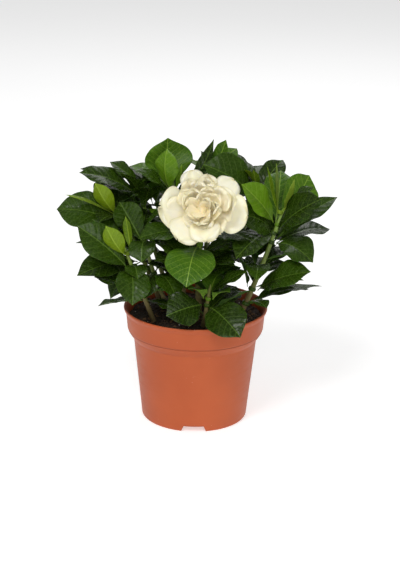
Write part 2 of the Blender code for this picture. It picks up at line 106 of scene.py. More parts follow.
# %% A blade's curve, face and width
LEAF_STATIONS = (0.05, 0.16, 0.34, 0.54, 0.74, 0.9, 1.0)
PETAL_STATIONS = (0.0, 0.16, 0.36, 0.56, 0.76, 0.92, 1.0)
PETIOLE = 0.06
TIP_REACH, ROOT_REACH = 1.2, 3.3
STEM_CORNERS = 8


def leaf_outline(t):
    """Half width of a leaf, as a share of its widest, along its length."""
    u = np.clip((t - PETIOLE) / (1 - PETIOLE), 0, 1)
    return np.maximum(u ** 1.2 * (1 - u) ** 0.75 / 0.273, np.where(t < 0.5, 0.08, 0.02))


def petal_outline(t):
    """Half width of a petal, broad and round at its outer end."""
    return np.maximum(t ** 1.1 * (1 - t) ** 0.38 / 0.43, 0.08)


def read_blade(points, rings, stations, outline):
    """Midrib curve, facing and width of one blade, from its rings of corners."""
    middles, lifts, widths, rises = [], [], [], []
    for t, ring in zip(stations, rings):
        corners = points[ring]
        gaps = np.linalg.norm(corners[:, None] - corners[None], axis=2)
        a, b = np.unravel_index(gaps.argmax(), gaps.shape)
        edges = (corners[a] + corners[b]) / 2
        if not 0.1 < t < 0.99:
            middles.append(corners.mean(0))
            continue
        place = (corners - edges) @ unit(corners[b] - corners[a])
        middle = corners[np.argsort(abs(place))[:2]].mean(0)
        middles.append(middle)
        if 0.3 < t < 0.8:
            lifts.append(edges - middle)
            rises.append(np.linalg.norm(edges - middle) / (gaps[a, b] / 2))
            widths.append(gaps[a, b] / outline(np.array(t)))
    t = np.array(stations)
    weights = np.stack([(1 - t) ** 2, 2 * t * (1 - t), t ** 2], axis=1)
    curve = np.linalg.lstsq(weights, np.array(middles), rcond=None)[0]
    return {"curve": curve, "face": unit(np.mean(lifts, axis=0)), "width": float(np.mean(widths)),
            "rise": float(np.mean(rises))}


def read_leaves(node):
    """Every leaf of a whorl. A tip is four corners close together that meet only four more."""
    points, meets = joined(node)
    leaves, tips = [], set()
    for corner in points:
        near = tuple(np.flatnonzero(np.linalg.norm(points - corner, axis=1) < TIP_REACH))
        around = set().union(*(meets[j] for j in near)) - set(near)
        if len(near) == 4 and len(around) == 4:
            tips.add(near)
    for tip in sorted(tips):
        rings = rings_from(tip, meets, len(LEAF_STATIONS))[::-1]
        leaves.append(read_blade(points, rings, LEAF_STATIONS, leaf_outline))
    return leaves


def read_stem(node):
    """The middle and radius of each ring of a stem, from its foot upwards."""
    points, meets = joined(node)
    foot = np.argsort(points[:, 2])[:STEM_CORNERS]
    rings = rings_from(foot.tolist(), meets, len(points) // STEM_CORNERS)
    middles = np.array([points[ring].mean(0) for ring in rings])
    radii = np.array([np.linalg.norm(points[r] - m, axis=1).mean() for r, m in zip(rings, middles)])
    return middles, radii


whorls = {n: read_leaves(n) for n in sorted(frame["nodes"]) if n.startswith("leaves_")}
stems = {n: read_stem(n) for n in sorted(frame["nodes"]) if n.startswith("stem_")}
print("whorls:", len(whorls), "leaves:", sum(map(len, whorls.values())), "stems:", len(stems))

# %% The petals' roots lie nearest the heart of the flower
calyx_points = joined("calyx")[0]
stem_end = stems["stem_flower"][0][-1]
heart = calyx_points[np.argmax((calyx_points - stem_end) @ unit(calyx_points.mean(0) - stem_end))]


def read_petal(node):
    """One petal, read outwards from the corners of its root."""
    points, meets = joined(node)
    nearest = points[np.argmin(np.linalg.norm(points - heart, axis=1))]
    root = np.flatnonzero(np.linalg.norm(points - nearest, axis=1) < ROOT_REACH)
    rings = rings_from(root.tolist(), meets, len(PETAL_STATIONS))
    return read_blade(points, rings, PETAL_STATIONS, petal_outline)


petals = {n: read_petal(n) for n in sorted(frame["nodes"]) if n.startswith("petal_")}
for name, petal in petals.items():
    print(name, "length %.0f width %.0f" % (
        np.linalg.norm(petal["curve"][2] - petal["curve"][0]), petal["width"]))

# %% [markdown]
# ## Two small kits
# Every surface here is a grid of points, so one helper turns grids into a mesh piece with its
# attributes. Every finish is a chain of shader nodes, so a second kit keeps those lines short.


# %% The mesh kit
def piece(name, points, faces, finish, marks=None, sides=None, stands_for=(), crease=None):
    """A smooth mesh piece in millimetres. Marks are per point, sides are per face."""
    mesh = bpy.data.meshes.new(name)
    inside = np.clip(np.asarray(points) * MM, *cad_box)
    mesh.from_pydata(inside.tolist(), [], [list(f) for f in faces])
    for key, values in (marks or {}).items():
        values = np.asarray(values, dtype=np.float32)
        kind = "FLOAT_VECTOR" if values.ndim == 2 else "FLOAT"
        layer = mesh.attributes.new(key, kind, "POINT")
        layer.data.foreach_set("vector" if values.ndim == 2 else "value", values.ravel())
    for key, values in (sides or {}).items():
        layer = mesh.attributes.new(key, "FLOAT", "FACE")
        layer.data.foreach_set("value", np.asarray(values, dtype=np.float32))
    mesh.shade_smooth()
    if crease:
        mesh.set_sharp_from_angle(angle=radians(crease))
    mesh.materials.append(finish)
    made = bpy.data.objects.new(name, mesh)
    bpy.context.scene.collection.objects.link(made)
    slots = {slot_of[n] for n in stands_for}
    if stands_for:
        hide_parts(*stands_for)
        slots.pop()
    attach(made, "root")
    return made


def tube(centres, radii, sides, capped=True):
    """Points and faces of a round tube; radii may be a number per ring or per point."""
    centres = np.asarray(centres, dtype=float)
    slopes = unit(np.gradient(centres, axis=0))
    side = unit(np.cross(slopes[0], (0.31, 0.95, 0.05)))
    points = []
    turn = np.linspace(0, 2 * pi, sides, endpoint=False)
    for centre, slope, radius in zip(centres, slopes, radii):
        side = unit(side - slope * (side @ slope))
        other = np.cross(slope, side)
        ring = np.outer(np.cos(turn), side) + np.outer(np.sin(turn), other)
        points.append(centre + ring * np.reshape(radius, (-1, 1)))
    faces = []
    for row in range(len(centres) - 1):
        for k in range(sides):
            a, b = row * sides + k, row * sides + (k + 1) % sides
            faces.append((a, b, b + sides, a + sides))
    if capped:
        last = (len(centres) - 1) * sides
        faces.append(tuple(range(sides))[::-1])
        faces.append(tuple(range(last, last + sides)))
    return np.concatenate(points), faces


class Heap:
    """Collects many small meshes so that they can become one piece."""

    def __init__(self):
        self.points, self.faces, self.marks, self.sides, self.count = [], [], {}, {}, 0

    def add(self, points, faces, marks=None, sides=None):
        self.faces += [tuple(i + self.count for i in f) for f in faces]
        self.points.append(points)
        self.count += len(points)
        for key, values in (marks or {}).items():
            values = np.asarray(values, dtype=float)
            if values.ndim == 0:
                values = np.full(len(points), values)
            self.marks.setdefault(key, []).append(values)
        for key, values in (sides or {}).items():
            values = np.asarray(values, dtype=float)
            if values.ndim == 0:
                values = np.full(len(faces), values)
            self.sides.setdefault(key, []).append(values)

    def take(self, other):
        """Takes over everything that another heap holds."""
        self.add(np.concatenate(other.points), other.faces,
                 {key: np.concatenate(v) for key, v in other.marks.items()},
                 {key: np.concatenate(v) for key, v in other.sides.items()})

    def build(self, name, finish, stands_for=(), crease=None):
        marks = {key: np.concatenate(v) for key, v in self.marks.items()}
        sides = {key: np.concatenate(v) for key, v in self.sides.items()}
        return piece(name, np.concatenate(self.points), self.faces, finish, marks, sides,
                     stands_for, crease)


# %% The shader kit
class Finish:
    """A material whose nodes are added one short line at a time."""

    def __init__(self, name):
        self.material = bpy.data.materials.new(name)
        self.material.use_nodes = True
        self.tree = self.material.node_tree
        self.shader = self.tree.nodes["Principled BSDF"]

    def node(self, kind, inputs=None, **settings):
        made = self.tree.nodes.new("ShaderNode" + kind)
        for key, value in settings.items():
            setattr(made, key, value)
        for key, value in (inputs or {}).items():
            self.feed(made.inputs[key], value)
        return made

    def feed(self, socket, value):
        if isinstance(value, bpy.types.NodeSocket):
            self.tree.links.new(value, socket)
        else:
            socket.default_value = value

    def mark(self, name):
        """A per-point or per-face number that the mesh carries."""
        return self.node("Attribute", attribute_name=name).outputs["Fac"]

    def place(self, name=None):
        """Where on the piece the colour is wanted: a carried vector, or the object's own."""
        if name:
            return self.node("Attribute", attribute_name=name).outputs["Vector"]
        return self.node("TexCoord").outputs["Object"]

    def noise(self, where, scale, detail=3.0, rough=0.55):
        return self.node("TexNoise", {"Vector": where, "Scale": scale, "Detail": detail,
                                      "Roughness": rough}).outputs["Fac"]

    def maths(self, how, a, b=0.5, c=0.0):
        made = self.node("Math", operation=how)
        for socket, value in zip(made.inputs, (a, b, c)):
            self.feed(socket, value)
        return made.outputs[0]

    def between(self, value, low, high, start=0.0, end=1.0):
        """Runs smoothly from start to end as a value goes from low to high."""
        made = self.node("MapRange", {"Value": value, "From Min": low, "From Max": high,
                                      "To Min": start, "To Max": end},
                         interpolation_type="SMOOTHSTEP")
        return made.outputs["Result"]

    def ramp(self, value, *stops):
        made = self.node("ValToRGB", {"Fac": value})
        line = made.color_ramp
        while len(line.elements) < len(stops):
            line.elements.new(0.5)
        for element, (position, colour) in zip(line.elements, stops):
            element.position = position
            element.color = (*colour, 1)
        return made.outputs["Color"]

    def blend(self, share, a, b, how="MIX"):
        made = self.node("Mix", {"Factor": share}, data_type="RGBA", blend_type=how)
        for socket, value in zip((made.inputs[6], made.inputs[7]), (a, b)):
            self.feed(socket, (*value, 1) if isinstance(value, tuple) else value)
        return made.outputs[2]

    def bump(self, height, distance, strength=1.0, under=None):
        inputs = {"Height": height, "Distance": distance * MM, "Strength": strength}
        if under:
            inputs["Normal"] = under
        return self.node("Bump", inputs).outputs["Normal"]

    def wear(self, **sockets):
        """Sets or links the shader's own sockets."""
        for key, value in sockets.items():
            socket = self.shader.inputs[key.replace("_", " ")]
            self.feed(socket, (*value, 1) if isinstance(value, tuple) and len(value) == 3
                      and socket.type == "RGBA" else value)
        return self.material


# %% [markdown]
# ## The leaf finish
# A gardenia leaf is dark and waxy above and paler and duller below. A pale midrib and eight
# or nine pairs of side veins cross it, with a fine net of veins between. The leaf meshes
# carry their own coordinates, so veins and net follow each blade round its bends. One
# chain of nodes serves old, bright and young leaves, with different colours and gloss.


# %% Leaf colours, veins and gloss
def leaf_finish(name, deep, light, vein, under, gloss, net_depth):
    leaf = Finish(name)
    where = leaf.place("leaf_place")
    tone = leaf.mark("tone")
    across = leaf.mark("across")
    below = leaf.mark("underside")
    cloud = leaf.noise(where, 0.06, 4)
    mottle = leaf.noise(where, 0.6, 3)
    shade = leaf.maths("ADD", leaf.maths("MULTIPLY", cloud, 0.55), leaf.maths("MULTIPLY", tone, 0.6))
    blade = leaf.blend(leaf.between(shade, 0.2, 0.95), deep, light)
    blade = leaf.blend(leaf.between(mottle, 0.35, 0.75, 0, 0.22), blade, vein)
    middle = leaf.between(leaf.maths("ABSOLUTE", leaf.mark("from_midrib")), 0.25, 0.75, 1, 0)
    line = leaf.maths("ABSOLUTE", leaf.maths("SINE", leaf.maths("MULTIPLY", leaf.mark("vein"), pi)))
    side_vein = leaf.between(line, 0.03, 0.2, 1, 0)
    fade = leaf.between(leaf.maths("ABSOLUTE", across), 0.75, 1.0, 1, 0.2)
    side_vein = leaf.maths("MULTIPLY", side_vein, fade)
    cells = leaf.node("TexVoronoi", {"Vector": where, "Scale": 0.8}, feature="DISTANCE_TO_EDGE")
    net = leaf.between(cells.outputs["Distance"], 0.02, 0.16, 1, 0)
    colour = leaf.blend(leaf.maths("MULTIPLY", side_vein, 0.5), blade, vein)
    colour = leaf.blend(leaf.maths("MULTIPLY", net, 0.07), colour, vein)
    colour = leaf.blend(leaf.maths("MULTIPLY", middle, 0.85), colour, vein)
    rim = leaf.between(leaf.maths("ABSOLUTE", across), 0.965, 1.0, 0, 0.35)
    colour = leaf.blend(rim, colour, vein)
    paler = leaf.blend(leaf.maths("MULTIPLY", side_vein, 0.5), under, vein)
    paler = leaf.blend(leaf.maths("MULTIPLY", middle, 0.8), paler, vein)
    paler = leaf.blend(leaf.maths("MULTIPLY", net, 0.25), paler, vein)
    colour = leaf.blend(below, colour, paler)
    dull = leaf.between(mottle, 0.3, 0.8, gloss, gloss + 0.14)
    rough = leaf.maths("ADD", dull, leaf.maths("MULTIPLY", below, 0.3))
    relief = leaf.maths("MULTIPLY", side_vein, -1.0)
    fine = leaf.bump(net, net_depth, 0.7)
    normal = leaf.bump(relief, 0.12, 0.6, fine)
    normal = leaf.bump(mottle, 0.08, 0.5, normal)
    return leaf.wear(Base_Color=colour, Roughness=rough, Normal=normal, Specular_IOR_Level=0.14,
                     Coat_Weight=0.1, Coat_Roughness=0.08, Subsurface_Weight=0.06,
                     Subsurface_Radius=(0.4, 1.0, 0.15), Subsurface_Scale=0.6 * MM)


leaf_finishes = {
    "mature_leaf": leaf_finish("waxy_dark_leaf", (0.005, 0.014, 0.0003), (0.02, 0.05, 0.001),
                               (0.09, 0.16, 0.02), (0.03, 0.072, 0.01), 0.22, -0.05),
    "new_leaf": leaf_finish("waxy_bright_leaf", (0.026, 0.086, 0.002), (0.092, 0.2, 0.004),
                            (0.22, 0.35, 0.04), (0.11, 0.22, 0.022), 0.28, -0.05),
    "young_leaf": leaf_finish("soft_young_leaf", (0.07, 0.135, 0.002), (0.145, 0.225, 0.004),
                              (0.24, 0.35, 0.03), (0.22, 0.33, 0.025), 0.34, -0.04),
}
print("leaf finishes:", ", ".join(leaf_finishes))

# %% [markdown]
# ## Growing the leaves
# The real blade is a thin sheet that bulges between its side veins, dips along its midrib
# and waves at its margin. A leaf could be one flat card with a bump map, but its outline and
# its highlights would give it away. So each leaf is a closed shell of two fine grids that
# follow the midrib curve, and the veins and waves are real relief.

# %% How each kind of leaf folds and bulges
KINDS = {
    "mature_leaf": {"fold": 0.16, "pillow": 0.8, "wave": 1.25, "veins": 9.0, "thick": 0.5},
    "new_leaf": {"fold": 0.2, "pillow": 0.6, "wave": 1.1, "veins": 9.0, "thick": 0.45},
    "young_leaf": {"fold": 0.34, "pillow": 0.3, "wave": 0.4, "veins": 8.0, "thick": 0.4},
}
ALONG = 56
ACROSS = 19


def drawn_out(t):
    """The real leaf's outline: a little slimmer towards its tip than the plain solid."""
    u = np.clip((t - PETIOLE) / (1 - PETIOLE), 0, 1)
    return u ** 1.2 * (1 - u) ** 0.78 / 0.266 * (1 - 0.6 * np.exp(-((1 - u) / 0.09) ** 1.5))


def blade_ways(blade, t):
    """Midrib points, and the side and face directions, at shares t of a blade's length."""
    t = t[:, None]
    start, bend, end = blade["curve"]
    middle = start * (1 - t) ** 2 + bend * 2 * t * (1 - t) + end * t ** 2
    slope = unit((bend - start) * (1 - t) + (end - bend) * t)
    face = unit(blade["face"] - slope * (slope @ blade["face"])[:, None])
    return middle, np.cross(face, slope), face


def shell(top, bottom):
    """Two grids of points that share their long edges, as one closed thin sheet."""
    rows, columns = top.shape[:2]
    inner = columns - 2
    points = np.concatenate([top.reshape(-1, 3), bottom[:, 1:-1].reshape(-1, 3)])

    def at(i, j, below):
        if below and 0 < j < columns - 1:
            return rows * columns + i * inner + j - 1
        return i * columns + j

    faces, below = [], []
    for under in (False, True):
        for i in range(rows - 1):
            for j in range(columns - 1):
                quad = [at(i, j, under), at(i, j + 1, under), at(i + 1, j + 1, under), at(i + 1, j, under)]
                faces.append(tuple(quad if not under else quad[::-1]))
                below.append(float(under))
    for i in (0, rows - 1):
        loop = [at(i, j, False) for j in range(columns)]
        loop += [at(i, j, True) for j in range(columns - 2, 0, -1)]
        faces.append(tuple(loop[::-1] if i == 0 else loop))
        below.append(0.0)
    return points, faces, below


def both_sides(grid):
    """A per-point value of the grid, repeated for the inner points of the lower sheet."""
    tail = grid.shape[2:]
    return np.concatenate([grid.reshape(-1, *tail), grid[:, 1:-1].reshape(-1, *tail)])


# %% One leaf
LIGHT_WAY = unit(np.array([0.0, -1.0, 0.35]))


def grow_leaf(heap, blade, kind):
    """Adds one leaf to a heap. Its waxy upper side is the one that is turned to the light."""
    length = np.linalg.norm(blade["curve"][2] - blade["curve"][0])
    steps = np.linspace(0, 1, ALONG)
    t = 0.02 + 0.98 * (0.35 * steps + 0.65 * (1 - (1 - steps) ** 1.7))
    u = np.sin(np.linspace(-1, 1, ACROSS) * pi / 2 * 0.92) / sin(pi / 2 * 0.92)
    half = blade["width"] / 2 * drawn_out(t)
    half = np.maximum(half, 0.75 * (1 - t))[:, None]
    middle, side, face = blade_ways(blade, t)
    t, u = t[:, None], u[None, :]
    a = abs(u)
    size = np.clip(half / 12, 0, 1)
    shift = chance.uniform(0, 2 * pi, 3)
    twist = chance.uniform(-0.12, 0.12)
    vein = kind["veins"] * (t - 0.62 * a * half / length - 0.05 * a * a)
    pillow = kind["pillow"] * abs(np.sin(pi * vein)) ** 0.6 * np.clip(a / 0.2, 0.25, 1) * (1 - a ** 5)
    dip = -0.45 * np.exp(-(u * half / 0.9) ** 2)
    wave = kind["wave"] * a ** 2.4 * np.sin(2 * pi * 2.3 * t + shift[0] + np.where(u > 0, shift[1], 0))
    wave = wave + 0.2 * a ** 3 * np.sin(2 * pi * 6.1 * t + shift[2] + 1.7 * u)
    fold = kind["fold"] * half * (np.sqrt(a * a + 0.02) - 0.14)
    lift = fold + (pillow + dip + wave) * size + twist * u * half * t
    thick = kind["thick"] * (0.35 + 0.65 * size) * (1 - a ** 4)
    rib = 0.9 * np.exp(-(u * half / 0.8) ** 2) * (1.1 - t) * np.clip(half / 2, 0.3, 1)
    base = middle[:, None] + side[:, None] * (u * half)[..., None]
    top = base + face[:, None] * lift[..., None]
    bottom = base + face[:, None] * (lift - thick - rib)[..., None]
    points, faces, below = shell(top, bottom)
    if blade["face"] @ LIGHT_WAY < -0.1:
        below = [1.0 - b for b in below]
    full = np.ones_like(half * u)
    marks = {
        "across": both_sides(u * full), "vein": both_sides(vein * full),
        "from_midrib": both_sides(u * half / (0.55 + 0.5 * (1 - t))), "tone": chance.uniform(0, 1),
        "leaf_place": both_sides(np.stack([u * half, t * length * full,
                                           full * chance.uniform(0, 900)], axis=2))}
    heap.add(points, faces, marks, {"underside": below})


# %% [markdown]
# ### The sheath
# Leaves of one whorl grow from a short collar that clasps the shoot. It's a small swollen
# ring, so it belongs to the same piece as its leaves and wears the same skin.


# %% One whorl: collar and leaves
COLLAR_CORNERS = 32
RING_UNDER_BUD = 8


def collar(node):
    """Middle, axis and radius of a whorl's collar, read from the corners near its leaf roots."""
    points = joined(node)[0]
    roots = np.array([leaf["curve"][0] for leaf in whorls[node]])
    middle = roots.mean(0)
    for _ in range(4):
        near = points[np.argsort(np.linalg.norm(points - middle, axis=1))[:COLLAR_CORNERS]]
        middle = near.mean(0)
    shoot = min(stems.values(), key=lambda s: np.linalg.norm(s[0] - middle, axis=1).min())
    ring = np.linalg.norm(shoot[0] - middle, axis=1).argmin()
    low, high = max(ring - 1, 0), min(ring + 1, len(shoot[0]) - 1)
    axis = unit(shoot[0][high] - shoot[0][low])
    return middle, axis, shoot[1][min(ring, RING_UNDER_BUD)]


def grow_whorl(node):
    heap = Heap()
    kind = KINDS[slot_of[node]]
    for blade in whorls[node]:
        grow_leaf(heap, blade, kind)
    middle, axis, radius = collar(node)
    levels = np.linspace(-1.7, 1.7, 9)
    swell = radius + 0.45 + 0.75 * np.sqrt(np.clip(1 - (levels / 1.9) ** 2, 0, 1))
    points, faces = tube(middle + np.outer(levels, axis), swell, 16)
    zero = np.zeros(len(points))
    heap.add(points, faces, {"across": zero + 0.5, "vein": zero + 0.5,
                             "from_midrib": zero + 0.6, "tone": zero + 0.6,
                             "leaf_place": points}, {"underside": 0.0})
    return heap.build(node.replace("leaves_", "blades_"), leaf_finishes[slot_of[node]], (node,))


for node in whorls:
    grow_whorl(node)
print("grown leaves:", sum(map(len, whorls.values())))

# %% [markdown]
# ## Inner leaves
# A real bush is dense inside: older, darker leaves fill the room between its shoots. The
# model leaves them to the looks. Each is tried at many turns round its shoot. A rough sheet
# is tested first, because it's quick, and then the finished leaf is tested too. It's kept
# only if it crosses no solid but its own shoot, and no inner leaf that already stands there.
# Placing them by hand would take a long table, and would break when the solids change.

# %% Trees of the solids, for asking whether a place is free
taken = {}
for node, solid in frame["nodes"].items():
    corners = [tuple(v.co / MM) for v in solid.data.vertices]
    taken[node] = BVHTree.FromPolygons(corners, [tuple(f.vertices) for f in solid.data.polygons])


def coarse(blade, rows=9):
    """A rough sheet of a leaf, for testing its room."""
    t = np.linspace(0.14, 1.0, rows)
    middle, side, face = blade_ways(blade, t)
    half = blade["width"] / 2 * drawn_out(t)[:, None]
    points = np.concatenate([middle - side * half, middle + side * half])
    faces = [(i, i + 1, i + rows + 1, i + rows) for i in range(rows - 1)]
    return points, faces


def is_free(points, faces, own):
    """Whether a mesh crosses nothing that stands already, apart from its own shoot."""
    tree = BVHTree.FromPolygons(points.tolist(), faces)
    return not any(other.overlap(tree) for name, other in taken.items() if name != own)


BUSH_HALF_WIDTH, BUSH_HALF_DEPTH = 108, 78
BUSH_BOTTOM, BUSH_TOP = 112, 232


def has_room(blade, own):
    """Whether a leaf keeps inside the bush's outline, and its rough sheet is free."""
    points, faces = coarse(blade)
    reach = np.hypot(points[:, 0] / BUSH_HALF_WIDTH, points[:, 1] / BUSH_HALF_DEPTH)
    if reach.max() > 1 or points[:, 2].min() < BUSH_BOTTOM or points[:, 2].max() > BUSH_TOP:
        return False
    return is_free(points, faces, own)


# %% Growing them round each shoot
INNER_LEVELS = (0.34, 0.44, 0.54, 0.64, 0.74, 0.82, 0.9)
LEAVES_ROUND, TRIES, FRONT_REACH = 3, 26, 22
layout = np.random.default_rng(7)
count = 0
for node, (middles, radii) in stems.items():
    heap = Heap()
    for level in INNER_LEVELS:
        along = np.linspace(0, 1, len(middles))
        place = np.array([np.interp(level, along, middles[:, k]) for k in range(3)])
        first = layout.uniform(0, 2 * pi)
        for leaf in range(LEAVES_ROUND):
            for _ in range(TRIES):
                turn = first + leaf * 2 * pi / LEAVES_ROUND + layout.uniform(-0.9, 0.9)
                rise = layout.uniform(-0.1, 0.75)
                length = layout.uniform(34, 54)
                way = np.array([cos(turn) * cos(rise), sin(turn) * cos(rise), sin(rise)])
                root = place + way * 0.8
                tip = root + way * length
                side = unit(np.cross(way, (0, 0, 1)))
                lifted = unit(np.cross(side, way) + side * layout.uniform(-0.5, 0.5))
                bend = (root + tip) / 2 + lifted * length * 0.12
                blade = {"curve": np.array([root, bend, tip]), "face": lifted,
                         "width": length * layout.uniform(0.5, 0.62)}
                if tip[1] < place[1] - FRONT_REACH or not has_room(blade, node):
                    continue
                trial = Heap()
                grow_leaf(trial, blade, KINDS["mature_leaf"])
                if is_free(trial.points[0], trial.faces, node):
                    heap.take(trial)
                    taken["inner_%d" % count] = BVHTree.FromPolygons(trial.points[0].tolist(), trial.faces)
                    count += 1
                    break
    if heap.count:
        heap.build(node.replace("stem_", "inner_"), leaf_finishes["mature_leaf"])
print("inner leaves:", count)

# %% [markdown]
# ## Stems
# The shoots are green and smooth above and turn brown and corky towards the soil. They
# thicken a little at each node. A bevelled curve would give an even pipe, so the tubes are
# built ring by ring, with swellings, and the bark colour follows the height.


# %% Stem finish
def stem_finish():
    stem = Finish("green_to_brown_bark")
    where = stem.place()
    streak = stem.node("Mapping", {"Vector": where, "Scale": (1.0, 1.0, 0.18)}).outputs["Vector"]
    fibre = stem.noise(streak, 1600, 3)
    patch = stem.noise(where, 140, 3)
    height = stem.maths("ADD", stem.mark("height"), stem.maths("MULTIPLY", patch, 0.35))
    colour = stem.ramp(height, (0.12, (0.06, 0.032, 0.014)), (0.36, (0.13, 0.1, 0.025)),
                       (0.6, (0.16, 0.22, 0.03)), (1.0, (0.2, 0.33, 0.04)))
    colour = stem.blend(stem.between(fibre, 0.45, 0.75, 0, 0.4), colour, (0.2, 0.17, 0.07))
    normal = stem.bump(fibre, 0.25, 0.6)
    return stem.wear(Base_Color=colour, Roughness=stem.between(height, 0.1, 0.9, 0.8, 0.42),
                     Normal=normal)


def smooth_path(places, count):
    """A smooth line through a few points (Catmull-Rom), as many points."""
    ends = np.concatenate([[2 * places[0] - places[1]], places, [2 * places[-1] - places[-2]]])
    s = np.linspace(0, len(places) - 1 - 1e-6, count)
    i = s.astype(int)
    f = (s - i)[:, None]
    p0, p1, p2, p3 = (ends[i + k] for k in range(4))
    return p1 + 0.5 * f * (p2 - p0 + f * (2 * p0 - 5 * p1 + 4 * p2 - p3 + f * (3 * (p1 - p2) + p3 - p0)))


# %% Tubes with swollen nodes
bark = stem_finish()
STEM_RINGS, STEM_SIDES = 64, 16
SOIL_TOP, BARK_RISE = 95.0, 110
for node, (middles, radii) in stems.items():
    centres = smooth_path(middles, STEM_RINGS)
    share = np.linspace(0, 1, STEM_RINGS)
    width = np.interp(share, np.linspace(0, 1, len(radii)), radii)
    swell = 1 + 0.1 * np.exp(-(np.sin(pi * share * 7) / 0.25) ** 2) * (share < 0.85)
    turn = np.linspace(0, 2 * pi, STEM_SIDES, endpoint=False)
    rough = 1 + 0.035 * np.sin(3 * turn[None] + 9 * share[:, None]) * (1 - share[:, None])
    points, faces = tube(centres, (width * swell)[:, None] * rough, STEM_SIDES)
    height = np.repeat((centres[:, 2] - SOIL_TOP) / BARK_RISE, STEM_SIDES)
    piece(node.replace("stem_", "shoot_"), points, faces, bark, {"height": height}, None, (node,))
print("shoots:", len(stems))

# %% [markdown]
# ## The flower
# The petals are thick and creamy, with broad round ends, wavy rims and a warmer tint in the
# depths. A bent disc would do from afar, but its rim would look cut. So each is a closed
# shell like a leaf, cupped instead of folded, and its rim is rolled back and waved.


# %% Petal finish
def petal_finish():
    skin = Finish("cream_petal")
    where = skin.place("leaf_place")
    along = skin.mark("along")
    vein_way = skin.node("Mapping", {"Vector": where, "Scale": (1.0, 0.12, 1.0)}).outputs["Vector"]
    lines = skin.noise(vein_way, 1.1, 2)
    cloud = skin.noise(where, 0.12, 3)
    colour = skin.ramp(along, (0.0, (0.9, 0.7, 0.34)), (0.3, (0.94, 0.82, 0.5)),
                       (0.62, (0.95, 0.885, 0.68)), (1.0, (0.94, 0.87, 0.57)))
    colour = skin.blend(skin.between(cloud, 0.35, 0.7, 0, 0.5), colour, (0.96, 0.91, 0.77))
    colour = skin.blend(skin.maths("MULTIPLY", skin.mark("depth"), 0.6), colour, (0.97, 0.84, 0.58))
    rim = skin.between(skin.maths("ABSOLUTE", skin.mark("across")), 0.78, 1.0, 0, 0.65)
    colour = skin.blend(rim, colour, (0.86, 0.79, 0.42))
    colour = skin.blend(skin.between(lines, 0.55, 0.8, 0, 0.16), colour, (0.8, 0.72, 0.45))
    normal = skin.bump(lines, 0.15, 0.35)
    normal = skin.bump(skin.noise(where, 3.0, 2), 0.03, 0.4, normal)
    return skin.wear(Base_Color=colour, Roughness=skin.between(cloud, 0.3, 0.7, 0.5, 0.62),
                     Normal=normal, Subsurface_Weight=0.4, Subsurface_Radius=(1.0, 0.8, 0.45),
                     Subsurface_Scale=2.5 * MM, Sheen_Weight=0.15, Sheen_Roughness=0.5,
                     Specular_IOR_Level=0.3)


petal_skin = petal_finish()


# %% One petal
def grow_petal(name, blade, cup, stands_for=(), depth=0.0):
    rows, columns = 40, 33
    steps = np.linspace(0, 1, rows)
    t = 0.45 * steps + 0.55 * (1 - (1 - steps) ** 1.8)
    u = np.sin(np.linspace(-1, 1, columns) * pi / 2 * 0.9) / sin(pi / 2 * 0.9)
    length = np.linalg.norm(blade["curve"][2] - blade["curve"][0])
    half = (blade["width"] / 2 * petal_outline(t))[:, None]
    middle, side, face = blade_ways(blade, t)
    t, u = t[:, None], u[None, :]
    a = abs(u)
    shift = chance.uniform(0, 2 * pi, 5)
    size = min(1.0, blade["width"] / 26)
    edge = np.maximum(a ** 3 * t, t ** 9)
    wave = 1.1 * np.sin(2 * pi * 1.1 * u * t + shift[0])
    wave = wave + 0.8 * np.sin(2 * pi * 2.3 * t * (1 + 0.4 * u) + shift[1])
    wave = wave + 0.45 * np.sin(9.5 * u + 5 * t + shift[2])
    half = half * (1 + 0.05 * a ** 3 * np.sin(8 * t + 2.4 * u + shift[2]))
    folds = 0.35 * np.sin(5.2 * u + shift[3]) * t * (1 - t) * 2
    folds = folds + 0.25 * np.sin(11 * u + shift[4]) * t * (1 - t)
    rim = 1.5 * np.clip((a - 0.7) / 0.3, 0, 1) ** 2 * t + 1.9 * np.clip((t - 0.84) / 0.16, 0, 1) ** 2
    lift = cup * half * a * a + (1.2 * wave * edge + folds - rim) * size
    thick = 0.75 * (0.4 + 0.6 * np.clip(half / 6, 0, 1)) * (1 - a ** 6) * (1 - 0.5 * t ** 4)
    base = middle[:, None] + side[:, None] * (u * half)[..., None]
    top = base + face[:, None] * (lift + thick / 2)[..., None]
    bottom = base + face[:, None] * (lift - thick / 2)[..., None]
    top[:, [0, -1]] = (top[:, [0, -1]] + bottom[:, [0, -1]]) / 2
    points, faces, _ = shell(top, bottom)
    full = np.ones_like(half * u)
    marks = {"across": both_sides(np.maximum(a, t ** 6) * full), "along": both_sides(t * full),
             "depth": np.full(len(points), depth),
             "leaf_place": both_sides(np.stack([u * half, t * length * full,
                                                full * chance.uniform(0, 900)], axis=2))}
    return piece(name, points, faces, petal_skin, marks, None, stands_for)


for node, blade in petals.items():
    grow_petal(node.replace("petal_", "bloom_"), blade, blade["rise"], (node,))
print("petals:", len(petals))

# %% [markdown]
# ### The folded heart
# A double gardenia keeps its last petals half rolled round its middle. The model leaves
# these to the looks, so they are set here round the flower's axis. Each has a turn round it,
# a tilt away from it, a length, a width, a cup and a twist about its own midrib. They could
# be one carved knot, but separate sheets overlap and shade one another, as petals do.

